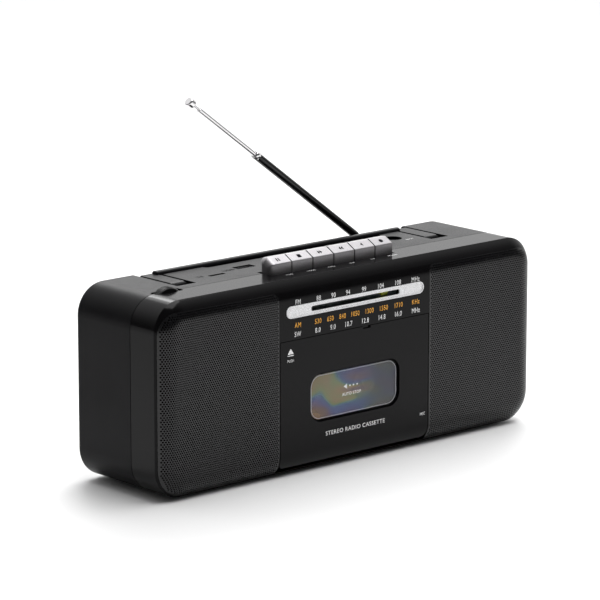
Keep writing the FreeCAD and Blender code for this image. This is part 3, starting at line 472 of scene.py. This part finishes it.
def printed(name, rows, material, body, place):
    """Printed words. rows: (string, x, level, capital height, width factor).

    place maps (x, level) to a point.
    """
    points, faces = [], []
    for string, x, level, height, squeeze in rows:
        shape, polygons = letter_shapes(string)
        start = len(points)
        size = height / CAPITAL
        for px, pz in shape:
            points.append(place(x + px * size * squeeze, level + pz * size - height / 2))
        faces.extend(tuple(start + i for i in polygon) for polygon in polygons)
    return piece(name, points, faces, material, body)


def on_front(y):
    return lambda x, z: (x, y - PRINT_T, z + BASE_Z)


def on_top(z):
    return lambda x, y: (x, y, z + PRINT_T)


# The dial's rows: each string with the x of its middle
FM_ROW = [("FM", -45.8), ("88", -29.6), ("90", -17.9), ("94", -6.3), ("99", 6.5),
          ("104", 20.2), ("108", 34.2), ("MHz", 48.6)]
AM_ROW = [("AM", -46.0), ("530", -30.0), ("650", -20.3), ("840", -10.6), ("1050", -0.3),
          ("1300", 11.1), ("1550", 22.7), ("1710", 34.8), ("KHz", 48.9)]
SW_ROW = [("SW", -46.0), ("8.0", -30.2), ("9.0", -18.3), ("10.7", -5.6), ("12.8", 7.8),
          ("14.8", 21.3), ("16.0", 34.6), ("MHz", 49.0)]
FM_LEVEL, AM_LEVEL, SW_LEVEL = 103.3, 89.5, 84.1
DIAL_CAPITAL = 3.1
DIAL_SQUEEZE = 0.80


def dial_printing(mats):
    white = [(s, x, FM_LEVEL, DIAL_CAPITAL, DIAL_SQUEEZE) for s, x in FM_ROW]
    white += [(s, x, SW_LEVEL, DIAL_CAPITAL, DIAL_SQUEEZE) for s, x in SW_ROW]
    printed("dial_scale_white", white, mats["white"], "case", on_front(FRONT_Y))
    orange = [(s, x, AM_LEVEL, DIAL_CAPITAL, DIAL_SQUEEZE) for s, x in AM_ROW]
    printed("dial_scale_orange", orange, mats["orange"], "case", on_front(FRONT_Y))


def mark(name, shapes, material, body, place):
    """Small printed or raised signs: each shape is a list of (x, level) corners."""
    points, faces = [], []
    for shape in shapes:
        start = len(points)
        points.extend(place(x, level) for x, level in shape)
        faces.append(tuple(range(start, start + len(shape))))
    return piece(name, points, faces, material, body)


def disc(x, level, r, steps=16):
    turns = [2 * math.pi * i / steps for i in range(steps)]
    return [(x + r * math.cos(a), level + r * math.sin(a)) for a in turns]


def door_printing(mats):
    place = on_front(FRONT_Y)
    rows = [("PUSH", -51.6, 68.7, 1.7, 0.9),
            ("STEREO RADIO CASSETTE", 0.0, 20.1, 2.6, 1.08),
            ("MIC", 55.1, 18.9, 1.9, 0.95)]
    printed("door_words", rows, mats["white"], "door", place)
    eject = [[(-54.0, 72.6), (-49.2, 72.6), (-51.6, 75.9)],
             [(-54.0, 71.5), (-49.2, 71.5), (-49.2, 72.0), (-54.0, 72.0)]]
    mark("eject_sign", eject, mats["white"], "door", place)


def window_printing(mats, y):
    place = on_front(y)
    shapes = [[(-8.3, 45.8), (-5.6, 44.2), (-5.6, 47.4)]]
    shapes += [disc(x, 45.8, 0.55, 10) for x in (-3.2, -0.4, 2.6)]
    mark("tape_way_sign", shapes, mats["white"], "door", place)
    printed("window_words", [("AUTO STOP", -1.9, 41.1, 1.9, 1.0)], mats["white"], "door", place)


def window_frame(mats):
    """A near-black ring round the pane, painted shade of the recess wall and gap round it, and a light grey
    ring on the bevel of its raised middle, a painted highlight.
    """
    low, high = [[c / MM for c in corner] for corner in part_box("door_window")]
    seat_y = low[1] + PANE_STEP
    rings = []
    # Painted shade: a flat near-black ring standing for the dark recess wall and gap round the pane.
    for inset, y in ((PANE_HIDDEN - 0.2, seat_y), (PANE_HIDDEN + PANE_SHADE_RING, seat_y)):
        loop = round_rect((low[0] + inset, high[0] - inset), (low[2] + inset, high[2] - inset), 10.0 - inset)
        rings.append([(x, y - PRINT_T, z) for x, z in loop])
    points, faces = stacked_rings(rings, False, False)
    piece("window_shade_ring", points, faces, mats["well"], "door")
    # The bevel ring in a light grey material: painted highlight along the pane's edge.
    rings = []
    for inset, y in ((0.0, seat_y - 0.1), (0.35, low[1] - 0.06), (0.75, low[1] - 0.06)):
        inset += PANE_HIDDEN + PANE_SHADE_RING
        loop = round_rect((low[0] + inset, high[0] - inset), (low[2] + inset, high[2] - inset), 10.0 - inset)
        rings.append([(x, y, z) for x, z in loop])
    points, faces = stacked_rings(rings, False, False)
    piece("window_bevel", points, faces, mats["rim"], "door")


# ---- keys, wheels and small marks -----------------------------------------------------------------------
KEYS = ["pause", "stop", "forward", "rewind", "play", "record"]
KEY_LABELS = ["PAUSE", "STOP/EJ", "F.FWD", "REW", "PLAY", "RECORD"]


def key_signs():
    """For each key the shapes of its sign, about its own centre, in millimetres."""
    left = [(-1.6, 0.0), (0.0, -1.5), (0.0, 1.5)]
    right = [(0.0, -1.5), (1.6, 0.0), (0.0, 1.5)]

    def shifted(shape, dx):
        return [(x + dx, t) for x, t in shape]

    return {
        "pause": [[(-1.2, -1.4), (-0.4, -1.4), (-0.4, 1.4), (-1.2, 1.4)],
                  [(0.4, -1.4), (1.2, -1.4), (1.2, 1.4), (0.4, 1.4)]],
        "stop": [[(-1.4, -1.4), (1.4, -1.4), (1.4, 1.4), (-1.4, 1.4)]],
        "forward": [shifted(right, -1.7), shifted(right, 0.0)],
        "rewind": [shifted(left, 0.0), shifted(left, 1.7)],
        "play": [shifted(left, 0.8)],
        "record": [disc(0.0, 0.0, 1.5, 20)],
    }


def on_key_slope(middle):
    """Maps (x, distance up the slope from its middle) to a key's sloping top."""
    foot, ridge = Vector((0, -18.5, 122.4 + BASE_Z)), Vector((0, -12.2, 125.8 + BASE_Z))
    up = (ridge - foot).normalized()
    out = Vector((0, -up.z, up.y))

    def place(x, t):
        point = (foot + ridge) / 2 + up * t + out * PRINT_T
        return (middle + x, point.y, point.z)

    return place


def key_details(mats):
    signs = key_signs()
    words = []
    for name, label in zip(KEYS, KEY_LABELS):
        low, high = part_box("key_" + name)
        middle = (low.x + high.x) / 2 / MM
        mark("sign_" + name, signs[name], mats["dark_ink"], "key_" + name, on_key_slope(middle))
        words.append((label, middle + 2.0, -23.6, 1.35, 0.95))
    printed("key_labels", words, mats["white"], "case", on_top(TOP_Z))


def small_marks(mats):
    place = on_top(TOP_Z)
    sockets = [("USB", -58.4, 9.6, 3.6, 1.0), ("TF", -83.0, 6.2, 3.6, 1.0)]
    printed("socket_words", sockets, mats["dark_ink"], "case", place)
    printed("band_words", [("BAND", 84.5, 5.0, 1.5, 1.0)], mats["white"], "case", place)


def knurling(name, node, body, material, reach):
    """Fine ribs round the rim of a thumbwheel whose axis runs along Y."""
    low, high = [[c / MM for c in corner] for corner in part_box(node)]
    cx, cz = (low[0] + high[0]) / 2, (low[2] + high[2]) / 2
    r = (high[0] - low[0]) / 2
    points, faces = [], []
    ribs = int(2 * math.pi * r / 1.0)
    for i in range(ribs):
        start = len(points)
        for turn, out in ((-0.012, -0.05), (0.0, RIB_H), (0.012, -0.05)):
            a = 2 * math.pi * i / ribs + turn * 15 / r * 1.6
            for y in reach:
                points.append((cx + (r + out) * math.cos(a), y, cz + (r + out) * math.sin(a)))
        faces += [(start, start + 2, start + 3, start + 1), (start + 2, start + 4, start + 5, start + 3)]
    piece(name, points, faces, material, body)


def aerial_collar(mats):
    """Plated ring where the thin sections leave the black tube."""
    tilt = next(j for j in frame["joints"] if j["name"] == "aerial_tilt")
    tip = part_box("aerial_tip")
    pivot = Vector(tilt["pos_m"])
    way = Vector((tip[0].x + COLLAR_R * MM, pivot.y, tip[1].z - COLLAR_R * MM)) - pivot
    way.normalize()
    turn = way.to_track_quat("Z", "Y").to_matrix()
    profile = [(2.0, 101.4), (COLLAR_R, 101.6), (COLLAR_R, 104.3), (2.2, 104.75), (1.7, 104.8)]
    rings = []
    for r, along in profile:
        loop = []
        for i in range(28):
            a = 2 * math.pi * i / 28
            spot = turn @ Vector((r * math.cos(a), r * math.sin(a), along)) + pivot / MM
            loop.append(tuple(spot))
        rings.append(loop)
    points, faces = stacked_rings(rings, False, False)
    piece("aerial_collar", points, faces, mats["chrome"], "aerial_tube", smooth=True)


# Flat near-black crosses on the screw heads: painted shade of their cross recesses.
def screw_cross_shade(mats):
    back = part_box("case_screws")[1].y / MM + PRINT_T
    shapes = []
    for x in (-142.0, 142.0):
        for z in (22.0, CASE_H - 24.0):
            for w, h in ((1.3, 0.28), (0.28, 1.3)):
                shapes.append([(x - w, z - h), (x - w, z + h), (x + w, z + h), (x + w, z - h)])
    mark("screw_cross_shade", shapes, mats["well"], "case",
         lambda x, z: (x, back, z + BASE_Z))


# ---- scene ----------------------------------------------------------------------------------------------
TARGET = (8.8, 21.1, 87.8)                    # millimetres; the camera looks at this point
VIEW_AZIMUTH = -41.7
VIEW_ELEVATION = 12.58
VIEW_DISTANCE = 2256.0
LENS = 223.4
SKY_LEAN = (0.52, 0.60, 0.61)                 # the sky brightens towards this direction
SKY_ANGLES = (0.10, 0.80)
SKY_LEVELS = (0.08, 1.12)
LAMPS = [("overhead", (0.12, -0.20, 1.1), (0.02, -0.1, 0), (0.9, 0.7), 9),
         ("strip", (0.70, 0.75, 1.15), (0, 0, 0.1), (0.9, 0.9), 9),
         ("far_floor", (2.2, 2.4, 2.2), (1.9, 2.1, 0), (2.5, 2.5), 36)]


def add_camera():
    a, e = math.radians(VIEW_AZIMUTH), math.radians(VIEW_ELEVATION)
    back = Vector((math.sin(a) * math.cos(e), -math.cos(a) * math.cos(e), math.sin(e)))
    data = bpy.data.cameras.new("camera")
    data.lens = LENS
    data.sensor_width = 36.0
    data.clip_start = 0.05
    data.clip_end = 60
    camera = bpy.data.objects.new("camera", data)
    bpy.context.scene.collection.objects.link(camera)
    camera.location = (Vector(TARGET) + back * VIEW_DISTANCE) * MM
    camera.rotation_euler = back.to_track_quat("Z", "Y").to_euler()
    bpy.context.scene.camera = camera


def area_light(name, where, towards, size, power):
    data = bpy.data.lights.new(name, "AREA")
    data.shape = "RECTANGLE"
    data.size, data.size_y = size
    data.energy = power
    lamp = bpy.data.objects.new(name, data)
    bpy.context.scene.collection.objects.link(lamp)
    lamp.location = where
    lamp.rotation_euler = (Vector(where) - Vector(towards)).to_track_quat("Z", "Y").to_euler()


def add_world():
    """Soft overhead light, brighter behind the object and dim on the side of the camera."""
    world = bpy.data.worlds.new("studio")
    bpy.context.scene.world = world
    world.use_nodes = True
    tree = world.node_tree
    background = tree.nodes["Background"]
    place = tree.nodes.new("ShaderNodeTexCoord")
    lean = tree.nodes.new("ShaderNodeVectorMath")
    lean.operation = "DOT_PRODUCT"
    lean.inputs[1].default_value = SKY_LEAN
    level = tree.nodes.new("ShaderNodeMapRange")
    level.interpolation_type = "SMOOTHSTEP"
    level.inputs["From Min"].default_value, level.inputs["From Max"].default_value = SKY_ANGLES
    level.inputs["To Min"].default_value, level.inputs["To Max"].default_value = SKY_LEVELS
    tree.links.new(place.outputs["Generated"], lean.inputs[0])
    tree.links.new(lean.outputs["Value"], level.inputs["Value"])
    tree.links.new(level.outputs["Result"], background.inputs["Strength"])
    background.inputs["Color"].default_value = (1, 1, 1, 1)


def add_studio():
    add_world()
    mat, tree, shader = new_material("floor_white")
    grain = noise(tree, 3, 2)
    tree.links.new(tint(tree, grain.outputs["Fac"], [(0.3, (0.90, 0.90, 0.90)), (0.7, (0.92, 0.92, 0.92))]),
                   shader.inputs["Base Color"])
    shader.inputs["Roughness"].default_value = 0.6
    mesh = bpy.data.meshes.new("floor")
    reach = 8.0
    corners = [(-reach, -reach, 0), (reach, -reach, 0), (reach, reach, 0), (-reach, reach, 0)]
    mesh.from_pydata(corners, [], [(0, 1, 2, 3)])
    mesh.materials.append(mat)
    floor = bpy.data.objects.new("floor", mesh)
    bpy.context.scene.collection.objects.link(floor)
    for name, where, towards, size, power in LAMPS:
        area_light(name, where, towards, size, power)
    bpy.context.scene.view_settings.view_transform = "Standard"


def main():
    add_camera()
    add_studio()
    mats = make_materials()
    dress_nodes(mats)
    for side in (-1, 1):
        grille(side, mats["grille"], mats["hole_shade"])
        grille_hole_shade(side, mats["hole_shade"])
    dial_printing(mats)
    door_printing(mats)
    window_printing(mats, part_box("door_window")[0][1] / MM)
    window_frame(mats)
    key_details(mats)
    small_marks(mats)
    knurling("volume_ribs", "volume_wheel", "volume", mats["dark"], (-13.5, -8.9))
    knurling("tuning_ribs", "tuning_wheel", "tuning", mats["dark"], (-1.8, 3.8))
    aerial_collar(mats)
    screw_cross_shade(mats)


main()
